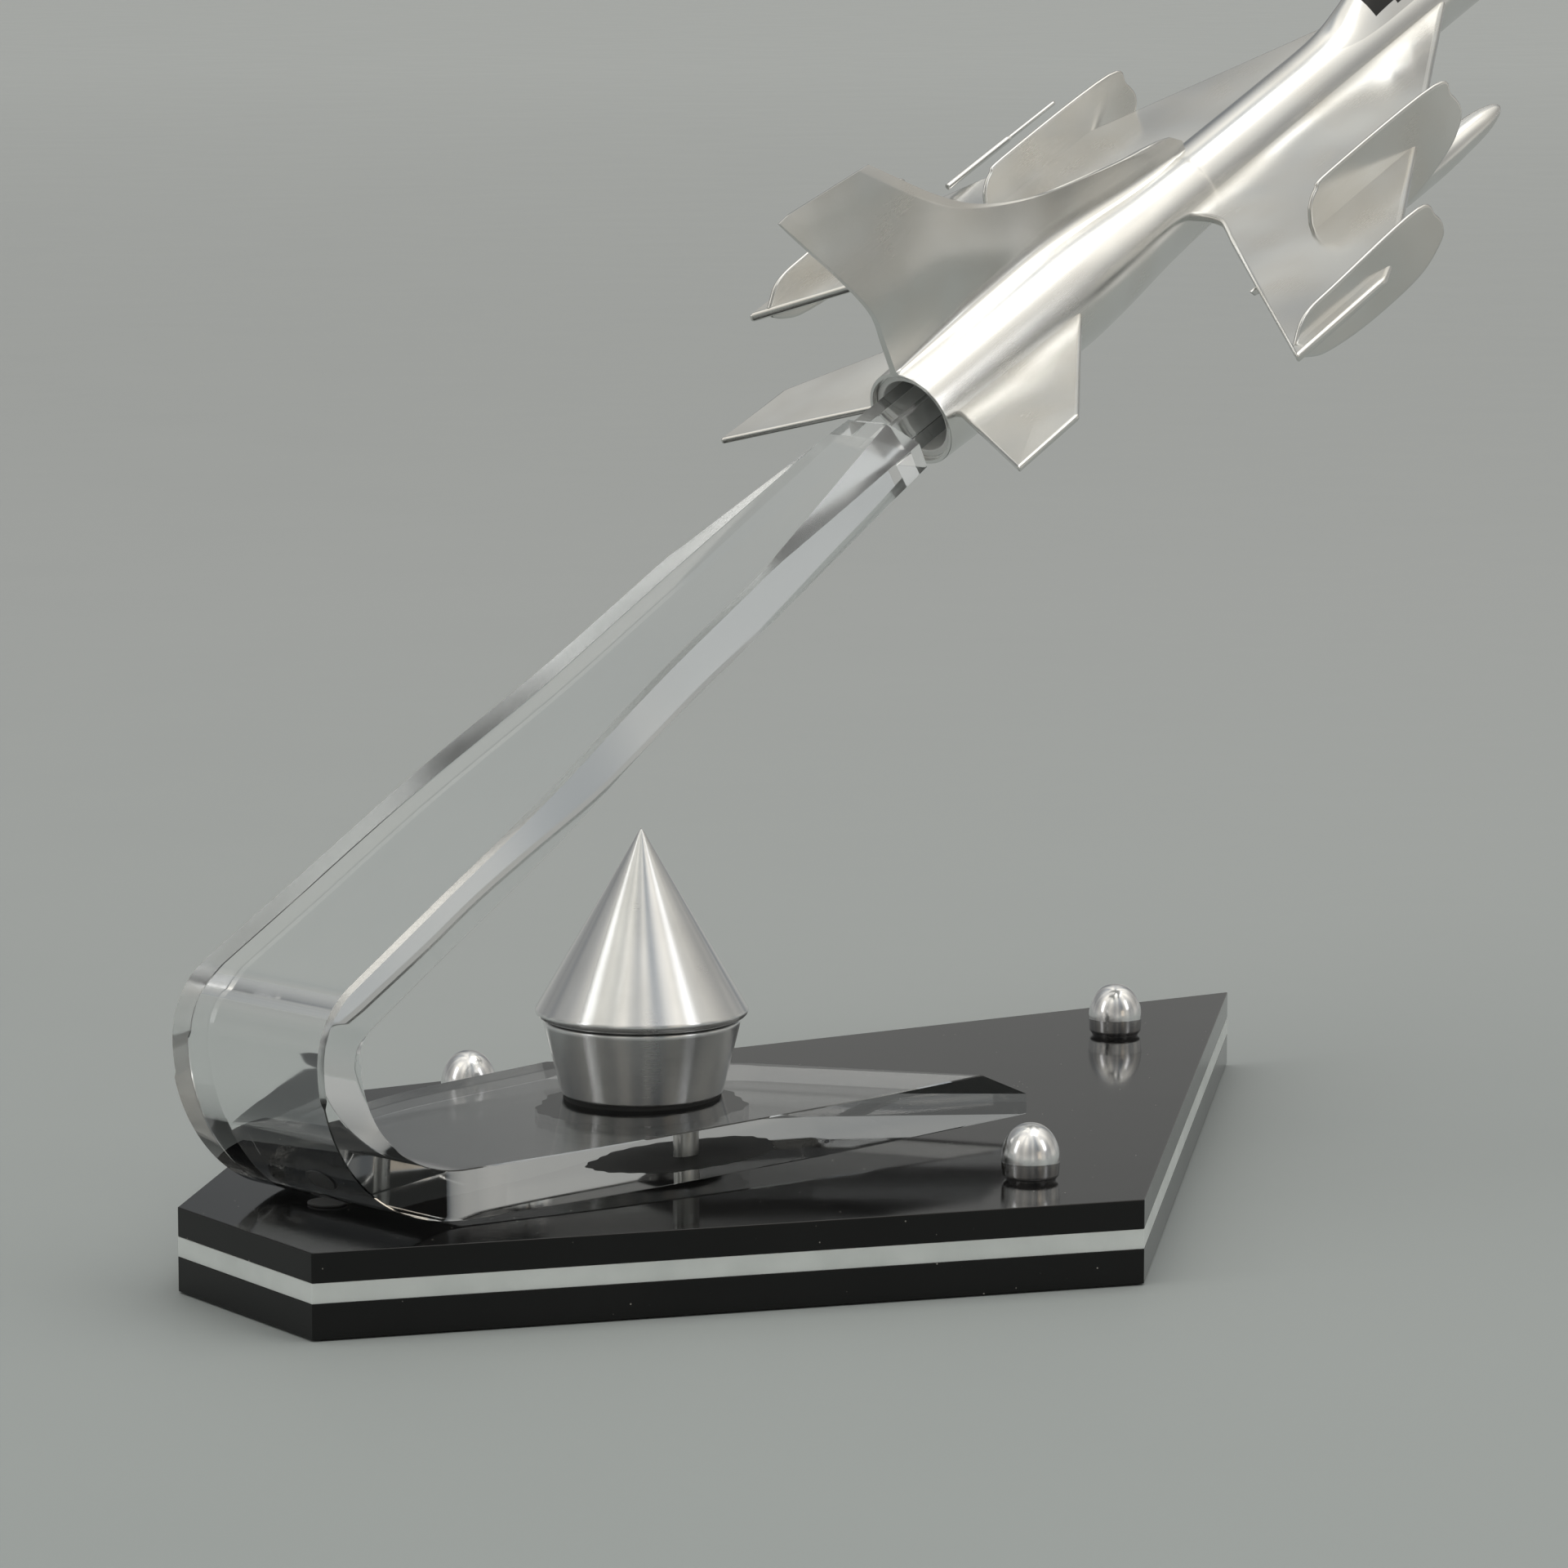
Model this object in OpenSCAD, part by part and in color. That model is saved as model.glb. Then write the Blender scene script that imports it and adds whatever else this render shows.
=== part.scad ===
// Desk display model: a turned metal jet aircraft on a bent clear acrylic strip,
// over a five-cornered base of three clamped acrylic plates.
// Frame: +X the way the aircraft points, +Y its port side, +Z up.
// Origin: underside of the base, straight below the main stud.

/* [Base] */
// Thickness of the bottom black plate
bottom_t = 7; // [5:0.5:10]
// Thickness of the frosted middle plate
middle_t = 4; // [3:0.5:6]
// Thickness of the top black plate
top_t = 6; // [4:0.5:8]

/* [Fasteners] */
// Diameter of the base screws
screw_d = 5; // [4:0.5:5]
// Largest diameter of a dome nut
dome_d = 12; // [11:0.5:13]
// Height of a dome nut
dome_h = 11.5; // [11:0.5:14]
// Diameter of the main stud
stud_d = 6; // [5:0.5:7]
// Radial running clearance of threads and turning fits
fit = 0.08; // [0.03:0.01:0.1]

/* [Strip] */
// Thickness of the bent acrylic sheet
strip_t = 10.2; // [9.8:0.1:10.4]
// Outer radius of the lower quarter of the bend
bend_low_r = 34.5; // [33:0.5:36]
// Outer radius of the upper part of the bend
bend_top_r = 17; // [16:0.5:18]
// Pitch of the upper leg
leg_pitch = 30.8; // [30:0.1:31.5]
// Half width of the strip at the bend
bend_half_w = 22.7; // [21:0.1:24]
// Width of the tenon that carries the aircraft
tenon_w = 12; // [11:0.5:12.5]
// Thickness of the tenon
tenon_t = 9.6; // [8:0.2:9.8]
// Depth of the tenon inside the tail
tenon_depth = 22; // [15:1:25]

/* [Turned cone] */
// Radius of the cone foot at its base
foot_low_r = 16.6; // [15:0.1:18]
// Radius of the black pad between base and strip
pad_r = 22; // [18:0.5:26]
// Radius of the cone foot at the seam
foot_top_r = 20.3; // [19:0.1:21]
// Height of the cone foot
foot_h = 15.4; // [14:0.2:18]
// Rim radius of the upper cone
cone_r = 21.9; // [21:0.1:23]
// Height of the upper cone
cone_h = 39; // [34:0.2:42]

/* [Aircraft] */
// Climb angle of the aircraft
pitch = 27.3; // [27:0.1:27.6]
// Length of the aircraft from nozzle to nose
length = 282; // [275:1:290]
// Radius of the tail at the nozzle
tail_r = 11; // [10.8:0.1:11.2]
// Greatest radius of the rear fuselage
rear_r = 12; // [11.8:0.1:12.2]
// Radius of the slim middle fuselage
mid_r = 8.7; // [8.5:0.1:8.9]
// Radius of the bore that takes the tenon
socket_r = 8.4; // [8.3:0.05:8.6]
// Thickness of the wing plates
wing_t = 2.2; // [1.8:0.1:2.6]
// Thickness of the fin and tailplane
tail_plate_t = 1.6; // [1.2:0.1:2]
// Thickness of the wing fences
fence_t = 1; // [0.8:0.1:1.2]
// Sideways place of the inner fences
inner_fence_y = 47.6; // [46:0.2:49]
// Sideways place of the outer fences
outer_fence_y = 77; // [76:0.2:78]
// Radius of the under-wing tanks
tank_r = 3.9; // [3.6:0.1:4]

/* [Hidden] */
$fn = 96;

// Base
base_h = bottom_t + middle_t + top_t;
base_outline = [[-101, 26.2], [-109, -24], [39.8, -102.8], [224, 37.8], [-8.7, 93.2]];
left_hole = [9, 63.5];
right_hole = [38, -73.5];
front_hole = [166, 20.5];
rear_hole = [-78, 7.7];
screw_head_r = 4.6;
screw_head_h = 3.2;
screw_above = 6;
cap_r = 4;
cap_h = 0.5;
cap_stem = 3.5;

// Strip: the lower leg is a little raised towards its end
rise = 1.16;
bend_x = -70.7;
bend_gap = 0.5;
bend_z = base_h + bend_low_r + bend_gap;
top_bend_x = bend_x - bend_low_r + bend_top_r;
low_len = 172;
top_len = 196;
arc_steps = 18;
leg_top_z = bend_z - (bend_low_r - strip_t) / cos(rise) - bend_x * tan(rise);
stud_gap = leg_top_z - strip_t / cos(rise) - base_h;
low_outline = [[-106, -22.7], [-88, -22.7], [-70.7, -24.5], [-39, -30.5], [-23, -32.2], [6, -35],
               [23, -37], [55, -38.5], [90, -40.3], [90, 39.5], [-38, 39.5], [-50, 35], [-70.7, 27],
               [-88, 22.7], [-106, 22.7]];
top_outline = [[-106, 22.7], [-92, 22.7], [-79, 21.4], [-49, 21.1], [-32, 19.5], [-14, 16.5],
               [12, 15.9], [35, 14.9], [48, 14.1], [58, 13.6], [67, 12.8]];
end_cuts = [[[8, 39.5], -49.3], [[34, 9.3], -61.5]];
end_bevel_w = 11;
end_bevel_drop = 5.6;
facet_start = [130, 15.6];
facet_yaw = 9.5;
facet_tilt = 31;
tenon_rise = 0.6;
leg_end_gap = 11.3;

// Aircraft frame: origin at the middle of the nozzle, X forward along the fuselage
tail_x = 78.2;
tail_z = 163;
wing_tail_s = 34;
wing_tail_z = -0.5;
wing_rise = 0.2;
fin_root = [[0, 10.3], [40, 10.3], [62, 8.2], [100.6, 8.2]];
nose_len = 77;
joint_s = length - nose_len;
lip_t = 0.9;
counterbore_r = 9.8;
counterbore_depth = 1.2;
canopy_axis_z = 6.4;
canopy_half_w = 5.5;

// Main stud and turned cone, all upright on the origin
stud_low_z = 0.5;
stud_head_r = 6;
stud_head_h = 3;
stud_above = 14;
foot_z = leg_top_z + 0.6;
stud_len = foot_z + foot_h + stud_above - stud_low_z;

// ---------- Base ----------

module plate(z, t) {
    translate([0, 0, z])
        difference() {
            linear_extrude(t) polygon(base_outline);
            for (hole = [left_hole, right_hole, front_hole, rear_hole])
                translate([hole[0], hole[1], -1]) cylinder(d = screw_d + 0.4, h = t + 2);
            translate([0, 0, -1]) cylinder(d = stud_d + 0.6, h = t + 2);
        }
}

module base_plate_bottom() {
    color("#0b0b0c")
    difference() {
        plate(0, bottom_t);
        for (hole = [left_hole, right_hole, front_hole, rear_hole])
            translate([hole[0], hole[1], -1]) cylinder(r = screw_head_r + 0.3, h = screw_head_h + 1.5);
        translate([0, 0, -1]) cylinder(r = stud_head_r + 0.3, h = stud_head_h + 1.6);
    }
}

module base_plate_middle() {
    color("#e6e8e6") plate(bottom_t, middle_t);
}

module base_plate_top() {
    color("#0b0b0c") plate(bottom_t + middle_t, top_t);
}

// Pan-head screw put in from below; its shank ends at top_z
module base_screw(hole, top_z) {
    color("#c4c4c2")
    translate([hole[0], hole[1], 0.5])
        difference() {
            union() {
                cylinder(r = screw_head_r, h = screw_head_h);
                cylinder(d = screw_d, h = top_z - 0.5);
            }
            translate([-screw_head_r - 1, -0.6, -1]) cube([2 * screw_head_r + 2, 1.2, 2.2]);
        }
}

// Polished cap nut: narrow foot, widest at a third of its height, blunt crown
module dome_nut(hole) {
    belly_z = dome_h * 0.3;
    steps = 12;
    outline = concat(
        [[0, 0], [dome_d / 2 - 0.7, 0]],
        [for (i = [0:steps - 1]) [dome_d / 2 * sqrt(1 - pow(i / steps, 2.1)),
                                  belly_z + (dome_h - belly_z) * i / steps]],
        [[0, dome_h]]);
    color("#d5d6d4")
    translate([hole[0], hole[1], base_h])
        difference() {
            rotate_extrude() polygon(outline);
            translate([0, 0, -1]) cylinder(r = screw_d / 2 + fit, h = screw_above + 1.6);
        }
}

// Low black cap that closes the rear screw's hole
module rear_cap() {
    color("#161616")
    translate([rear_hole[0], rear_hole[1], base_h]) {
        cylinder(r = cap_r, h = cap_h);
        translate([0, 0, -cap_stem]) cylinder(d = screw_d + 0.3, h = cap_stem + 0.1);
    }
}

// ---------- Strip ----------

function arc(cx, cz, r, a0, a1) =
    [for (i = [0:arc_steps]) let(a = a0 + (a1 - a0) * i / arc_steps) [cx + r * cos(a), cz + r * sin(a)]];

// Side view of the bent sheet: out along the underside, round the bend, back along the inside
function side_outline() =
    let(under = 270 + rise, over = 90 + leg_pitch,
        low_dir = [cos(rise), sin(rise)] * low_len, top_dir = [cos(leg_pitch), sin(leg_pitch)] * top_len,
        outer_low = arc(bend_x, bend_z, bend_low_r, under, 180),
        outer_top = arc(top_bend_x, bend_z, bend_top_r, 180, over),
        inner_top = arc(top_bend_x, bend_z, bend_top_r - strip_t, over, 180),
        inner_low = arc(bend_x, bend_z, bend_low_r - strip_t, 180, under))
    concat([outer_low[0] + low_dir], outer_low, outer_top, [outer_top[arc_steps] + top_dir],
           [inner_top[0] + top_dir], inner_top, inner_low, [inner_low[arc_steps] + low_dir]);

// Cut that slants across the end of the lower leg, with a bevel down to its lower edge
module end_cut(p, heading) {
    bevel = atan(end_bevel_drop / end_bevel_w);
    translate([p[0], p[1], leg_top_z + (p[0] + 25) * tan(rise)]) rotate([0, 0, heading]) {
        rotate([-bevel, 0, 0]) translate([-80, 0, 0]) cube([160, 60, 30]);
        translate([-80, end_bevel_w, -30]) cube([160, 60, 60]);
    }
}

module top_plan() {
    polygon(concat(top_outline, [[110, 12], [110, -12]],
                   [for (i = [len(top_outline) - 1:-1:0]) [top_outline[i][0], -top_outline[i][1]]]));
}

// Slanting facet along one upper edge of the upper leg, in the leg's own frame
module edge_facet() {
    translate([facet_start[0], facet_start[1], 0]) rotate([0, 0, -facet_yaw])
        rotate([-facet_tilt, 0, 0]) translate([-5, -30, 0]) cube([120, 60, 30]);
}

module in_leg_frame() {
    translate([top_bend_x, 0, bend_z]) rotate([0, -leg_pitch, 0]) translate([0, 0, bend_top_r])
        children();
}

// Square end of the upper leg, just behind the nozzle
module leg_end_cut() {
    aircraft_frame() translate([-leg_end_gap, -20, -20]) cube([60, 40, 40]);
}

module bent_sheet() {
    intersection() {
        translate([0, 60, 0]) rotate([90, 0, 0]) linear_extrude(120) polygon(side_outline());
        union() {
            linear_extrude(bend_z) polygon(low_outline);
            translate([0, 0, bend_z]) linear_extrude(160) top_plan();
        }
    }
}

module trail_strip() {
    color([0.86, 0.89, 0.88, 0.45])
    difference() {
        union() {
            difference() {
                bent_sheet();
                for (cut = end_cuts) end_cut(cut[0], cut[1]);
                in_leg_frame() edge_facet();
                in_leg_frame() mirror([0, 1, 0]) edge_facet();
                leg_end_cut();
            }
            aircraft_frame()
                translate([-24, -tenon_w / 2, tenon_rise - tenon_t / 2])
                    cube([24 + tenon_depth, tenon_w, tenon_t]);
        }
        translate([0, 0, base_h]) cylinder(d = stud_d + 0.6, h = 20);
    }
}

// ---------- Stud and turned cone ----------

module main_stud() {
    color("#b9bab8")
    translate([0, 0, stud_low_z]) {
        cylinder(d = stud_d, h = stud_len);
        cylinder(r = stud_head_r, h = stud_head_h);
    }
}

// Wide black pad that beds the strip on the base around the stud
module strip_pad() {
    under_z = base_h + stud_gap - 0.02;
    color("#141414")
    difference() {
        translate([0, 0, base_h]) cylinder(r = pad_r, h = stud_gap + 1);
        translate([0, 0, under_z]) rotate([0, -rise, 0]) translate([-30, -30, 0]) cube([60, 60, 5]);
        translate([0, 0, base_h - 1]) cylinder(d = stud_d + 0.3, h = 5);
    }
}

// Thin wedge that levels the upright cone on the sloping leg
module cone_pad() {
    color("#151515")
    difference() {
        translate([0, 0, leg_top_z - 1]) cylinder(r = foot_low_r - 0.4, h = foot_z - leg_top_z + 1);
        translate([0, 0, leg_top_z]) rotate([0, -rise, 0]) translate([-20, -20, -5]) cube([40, 40, 5]);
        translate([0, 0, leg_top_z - 2]) cylinder(d = stud_d + 0.3, h = 5);
    }
}

module cone_foot() {
    color("#c2c1bd")
    translate([0, 0, foot_z])
        difference() {
            cylinder(r1 = foot_low_r, r2 = foot_top_r, h = foot_h);
            translate([0, 0, -1]) cylinder(d = stud_d + 0.3, h = foot_h + 2);
        }
}

// Upper cone: shallow recess under an overhanging rim, straight flank to the tip
module cone_top() {
    rim_h = 2.2;
    color("#cfceca")
    translate([0, 0, foot_z + foot_h + 0.3])
        difference() {
            rotate_extrude()
                polygon([[0, 0], [cone_r - 1.4, 0], [cone_r - 0.3, 0.8], [cone_r, 1.7],
                         [cone_r - 0.5, rim_h], [0.6, cone_h], [0, cone_h]]);
            translate([0, 0, -1]) cylinder(r = stud_d / 2 + fit, h = stud_above + 1.5);
        }
}

// ---------- Aircraft ----------

module aircraft_frame() {
    translate([tail_x, 0, tail_z]) rotate([0, -pitch, 0]) children();
}

// Turned shape along the fuselage axis from [station, radius] points
module turned(points) {
    rotate([0, 90, 0]) rotate_extrude() polygon([for (p = points) [p[1], p[0]]]);
}

module fuselage() {
    color("#c8c9c8")
    aircraft_frame()
        difference() {
            turned([[0, 0], [0, tail_r], [16, tail_r + 0.5], [36, rear_r], [52, rear_r],
                    [65, rear_r - 0.8], [80, 9.8], [95, 9], [110, mid_r], [joint_s, mid_r],
                    [joint_s, 0]]);
            rotate([0, 90, 0]) translate([0, 0, -1]) {
                cylinder(r = tail_r - lip_t, h = counterbore_depth + 1);
                cylinder(r = counterbore_r, h = 31);
            }
            root_slots();
            rotate([0, 90, 0]) translate([0, 0, joint_s - 12]) cylinder(r = 3.05, h = 20);
        }
}

// Slots in the fuselage that take the roots of the fin, wings and tailplane
module root_slots() {
    slack = 0.1;
    translate([0, 0, -slack])
        upright_plate(concat([[-5, 20], [-5, 10.3]], fin_root, [[102, 8.2], [102, 20]]),
                      tail_plate_t + 2 * slack);
    for (side = [-1, 1]) scale([1, side, 1]) {
        translate([2, 10.1, -tail_plate_t / 2 - slack]) cube([45, 5, tail_plate_t + 2 * slack]);
        wing_frame() translate([84, 6, -wing_t / 2 - slack]) cube([105, 6, wing_t + 2 * slack]);
    }
}

// Bush in the tail: its bore slides over the strip's tenon
module tail_sleeve() {
    color("#a9aaa8")
    aircraft_frame() rotate([0, 90, 0]) translate([0, 0, counterbore_depth])
        difference() {
            cylinder(r = counterbore_r, h = 27.4);
            translate([0, 0, -1]) cylinder(r = socket_r, h = tenon_depth - counterbore_depth + 1.1);
        }
}

module nose() {
    color("#cbccca")
    aircraft_frame() {
        turned([[joint_s + 0.02, 0], [joint_s + 0.02, mid_r], [joint_s + 20, mid_r - 0.3],
                [joint_s + 45, mid_r - 1.4], [length - 10, 5.4], [length - 8, 5], [length - 9, 4.3],
                [length - 16, 4.1], [length - 4, 1.2], [length, 0.4], [length, 0]]);
        rotate([0, 90, 0]) translate([0, 0, joint_s - 11]) cylinder(r = 3, h = 12);
    }
}

// Raised cockpit cover, seated on the top of the fuselage
module canopy() {
    color("#b9bcbc")
    aircraft_frame()
        difference() {
            intersection() {
                translate([0, 0, canopy_axis_z])
                    turned([[126, 0], [127, 2.6], [133, 3.9], [140, 5.7], [147, 7.4], [153, 8], [172, 8.2],
                            [184, 7.6], [194, 6], [202, 3.6], [207, 0]]);
                translate([120, -canopy_half_w, 0]) cube([100, 2 * canopy_half_w, 30]);
            }
            turned([[100, 0], [100, mid_r + 0.02], [joint_s + 0.5, mid_r + 0.02], [220, mid_r + 0.02],
                    [220, 0]]);
        }
}

// Plate in the plane of symmetry; [station, height] outline
module upright_plate(outline, t) {
    rotate([90, 0, 0]) translate([0, 0, -t / 2]) linear_extrude(t) polygon(outline);
}

module fin() {
    tip_t = 0.9;
    color("#c6c8c8")
    aircraft_frame()
        intersection() {
            upright_plate(concat(fin_root, [[100.6, 11.3], [96, 14], [80, 17], [59, 21.6], [40.2, 29.2],
                                            [28, 38.3], [13.3, 53.7], [-12, 56], [-15.2, 55.7],
                                            [-4.4, 35.7], [0.2, 26]]), tail_plate_t);
            rotate([0, 90, 0]) translate([0, 0, -20]) rotate([0, 0, 90])
                linear_extrude(140)
                    polygon([[-tail_plate_t / 2, 0], [tail_plate_t / 2, 0], [tail_plate_t / 2, 16],
                             [tip_t / 2, 57], [-tip_t / 2, 57], [-tail_plate_t / 2, 16]]);
        }
}

// Flat plate lying across the aircraft; [station, distance from the middle] outline
module side_plate(outline, t) {
    translate([0, 0, -t / 2]) linear_extrude(t) polygon(outline);
}

module tailplane(side) {
    color("#c6c8c8")
    aircraft_frame() scale([1, side, 1])
        side_plate([[3, 10.2], [3, 12], [-15, 43.9], [6.1, 43.2], [45.5, 11.5], [45.5, 10.2]],
                   tail_plate_t);
}

// Frame of the wing plates: a little more incidence than the fuselage
module wing_frame() {
    translate([wing_tail_s, 0, wing_tail_z]) rotate([0, -wing_rise, 0]) translate([-wing_tail_s, 0, 0])
        children();
}

module wing_plate(t) {
    wing_frame()
        side_plate([[86.8, 6.1], [86.8, 14], [85.5, 19.3], [80, 25.5], [34.2, 80.4], [66, 80.2],
                    [72, 77.5], [76, 75.3], [186.3, 7.3], [186.3, 6.1]], t);
}

module wing(side) {
    color("#cdcdc9")
    aircraft_frame() scale([1, side, 1]) wing_plate(wing_t);
}

// Upright plate that slides over the wing from the front, slotted for the wing
module fence(outline, y, side) {
    color("#d0d1ce")
    aircraft_frame() scale([1, side, 1])
        difference() {
            translate([0, y, 0]) upright_plate(outline, fence_t);
            wing_plate(wing_t + 0.04);
        }
}

module inner_fence(side) {
    fence([[82.5, 0], [82.5, 2.4], [84, 6], [87.2, 8.4], [93, 9.6], [131.3, 9.2], [135.8, 4.6],
           [137.3, -0.3], [133.2, -4.4], [125.6, -7.2], [115.3, -9.3], [100, -9.6], [80, -7],
           [57, -1.2], [62, -1.2]], inner_fence_y, side);
}

module outer_fence(side) {
    fence([[37.8, 0.7], [43.5, 4.7], [55.4, 5.6], [84.5, 6.5], [89.1, 2.5], [90.3, -1],
           [88, -3.8], [78.6, -6.8], [60.8, -7.3], [46.9, -6], [40.9, -3.9], [37.8, -1.8]], outer_fence_y, side);
}

// Slim round-nosed tank fixed to the inner face of the inner fence
module tank(side) {
    tank_y = inner_fence_y - fence_t / 2 - tank_r - 0.02;
    color("#cccdca")
    aircraft_frame()
        scale([1, side, 1]) translate([0, tank_y, -8.6])
            turned([[70, 0], [76, 1.4], [86, 2.6], [100, 3.4], [114, tank_r - 0.1], [128, tank_r],
                    [138, 3.5], [146, 2.9], [151, 1.9], [154, 0]]);
}

module pitot_rod() {
    color("#b5b6b4")
    aircraft_frame()
        translate([90, 65.5, 2.5]) rotate([0, 90, 0]) cylinder(r = 0.8, h = 40);
}

base_plate_bottom();
base_plate_middle();
base_plate_top();
base_screw(left_hole, base_h + screw_above);  // base_screw_left
base_screw(right_hole, base_h + screw_above);  // base_screw_right
base_screw(front_hole, base_h + screw_above);  // base_screw_front
base_screw(rear_hole, base_h - cap_stem - 0.3);  // base_screw_rear
dome_nut(left_hole);  // dome_nut_left
dome_nut(right_hole);  // dome_nut_right
dome_nut(front_hole);  // dome_nut_front
rear_cap();
trail_strip();
main_stud();
strip_pad();
cone_pad();
cone_foot();
cone_top();
fuselage();
tail_sleeve();
nose();
canopy();
fin();
tailplane(1);  // tailplane_port
tailplane(-1);  // tailplane_starboard
wing(1);  // wing_port
wing(-1);  // wing_starboard
inner_fence(1);  // inner_fence_port
inner_fence(-1);  // inner_fence_starboard
outer_fence(1);  // outer_fence_port
outer_fence(-1);  // outer_fence_starboard
tank(1);  // tank_port
tank(-1);  // tank_starboard
pitot_rod();
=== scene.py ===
import math
import random

import bmesh
import bpy
from mathutils import Matrix, Vector


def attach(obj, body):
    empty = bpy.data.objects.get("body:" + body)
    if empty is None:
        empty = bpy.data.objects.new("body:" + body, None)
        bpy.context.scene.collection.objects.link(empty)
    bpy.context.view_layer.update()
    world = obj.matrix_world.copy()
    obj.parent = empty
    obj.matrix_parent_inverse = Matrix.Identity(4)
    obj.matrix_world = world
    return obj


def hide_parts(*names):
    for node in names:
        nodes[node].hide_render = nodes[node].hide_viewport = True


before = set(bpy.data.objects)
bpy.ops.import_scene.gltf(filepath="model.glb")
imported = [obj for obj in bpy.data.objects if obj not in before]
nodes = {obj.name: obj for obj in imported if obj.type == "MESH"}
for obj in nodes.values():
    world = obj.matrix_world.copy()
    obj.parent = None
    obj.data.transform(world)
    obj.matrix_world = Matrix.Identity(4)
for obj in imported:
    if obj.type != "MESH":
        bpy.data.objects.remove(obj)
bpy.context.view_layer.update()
scene = bpy.context.scene

MM = 0.001
UPRIGHT = Matrix.Identity(4)
# Aircraft frame: X forward along the fuselage, from the middle of the nozzle
PITCH = math.radians(27.3)
TAIL = Vector((78.2, 0.0, 163.0))
AIRCRAFT = Matrix.Translation(TAIL * MM) @ Matrix.Rotation(-PITCH, 4, "Y")


# ---------- Camera ----------

cam_data = bpy.data.cameras.new("camera")
cam_data.lens = 142.5
cam_data.sensor_width = 36.0
cam = bpy.data.objects.new("camera", cam_data)
scene.collection.objects.link(cam)
cam.location = (-0.8555, -0.9105, 0.2778)
cam.rotation_mode = "QUATERNION"
cam.rotation_quaternion = Vector((0.694, 0.705, -0.146)).to_track_quat("-Z", "Y")
scene.camera = cam


# ---------- Materials ----------

class Shader:
    """A Principled material with a few short-hands for its procedural nodes."""

    def __init__(self, name, **sockets):
        self.mat = bpy.data.materials.new(name)
        self.mat.use_nodes = True
        self.tree = self.mat.node_tree
        self.bsdf = self.tree.nodes["Principled BSDF"]
        for key, value in sockets.items():
            self.bsdf.inputs[key.replace("_", " ")].default_value = value
        self.coords = self.tree.nodes.new("ShaderNodeTexCoord").outputs["Object"]

    def add(self, kind, inputs=(), **settings):
        node = self.tree.nodes.new(kind)
        for key, value in settings.items():
            setattr(node, key, value)
        for key, value in dict(inputs).items():
            if isinstance(value, bpy.types.NodeSocket):
                self.tree.links.new(value, node.inputs[key])
            else:
                node.inputs[key].default_value = value
        return node

    def noise(self, size_mm, detail=3.0, scale=(1.0, 1.0, 1.0)):
        place = self.add("ShaderNodeMapping", {"Vector": self.coords, "Scale": scale})
        return self.add("ShaderNodeTexNoise", {
            "Vector": place.outputs["Vector"], "Scale": 1.0 / (size_mm * MM),
            "Detail": detail}).outputs["Fac"]

    def span(self, value, low, high, start=0.3, end=0.7):
        return self.add("ShaderNodeMapRange", {"Value": value, "From Min": start, "From Max": end,
                                               "To Min": low, "To Max": high}).outputs["Result"]

    def math(self, operation, a, b):
        return self.add("ShaderNodeMath", {0: a, 1: b}, operation=operation).outputs[0]

    def blend(self, factor, a, b):
        node = self.add("ShaderNodeMix", {"Factor": factor}, data_type="RGBA")
        for index, value in ((6, a), (7, b)):
            if isinstance(value, bpy.types.NodeSocket):
                self.tree.links.new(value, node.inputs[index])
            else:
                node.inputs[index].default_value = (*value, 1.0)
        return node.outputs[2]

    def set(self, socket, value):
        self.tree.links.new(value, self.bsdf.inputs[socket])

    def bump(self, height, distance_mm):
        self.set("Normal", self.add("ShaderNodeBump", {
            "Height": height, "Distance": distance_mm * MM}).outputs["Normal"])


def satin_metal(name, light, dark, rough, streak=(0.06, 1.0, 1.0), cloud_mm=16.0, swell_mm=0.0):
    """Hand-polished metal: long fine scratches along X, cloudy sheen, a little tarnish.

    swell_mm is how far a polished plate swells and dishes over a few centimetres.
    """
    m = Shader(name, Metallic=1.0)
    clouds = m.noise(cloud_mm, 1.5)
    fine = m.noise(0.25, 2.0, streak)
    spots = m.noise(2.4, 5.0)
    m.set("Base Color", m.blend(m.span(clouds, 0.0, 1.0, 0.35, 0.75), light, dark))
    sheen = m.span(clouds, rough[0], rough[1])
    scratches = m.span(fine, -0.02, 0.02)
    stains = m.span(spots, 0.0, 0.015, 0.5, 0.8)
    m.set("Roughness", m.math("ADD", m.math("ADD", sheen, scratches), stains))
    if swell_mm:
        m.bump(m.noise(34.0, 0.0), swell_mm)
    else:
        m.bump(fine, 0.0004)
    return m


air_metal = satin_metal("aircraft_metal", (0.80, 0.80, 0.79), (0.74, 0.73, 0.705), (0.20, 0.27))
plate_metal = satin_metal("polished_plate", (0.74, 0.74, 0.725), (0.67, 0.655, 0.62), (0.18, 0.27),
                          swell_mm=2.0)
sleeve_metal = satin_metal("sleeve_metal", (0.86, 0.86, 0.85), (0.76, 0.76, 0.75), (0.4, 0.5))
# Mostly not metallic, so that the inside of the nozzle comes out as light as in the picture
sleeve_metal.bsdf.inputs["Metallic"].default_value = 0.25
steel = satin_metal("steel", (0.66, 0.66, 0.65), (0.55, 0.55, 0.53), (0.25, 0.4), (1.0, 1.0, 1.0),
                    5.0)

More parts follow.
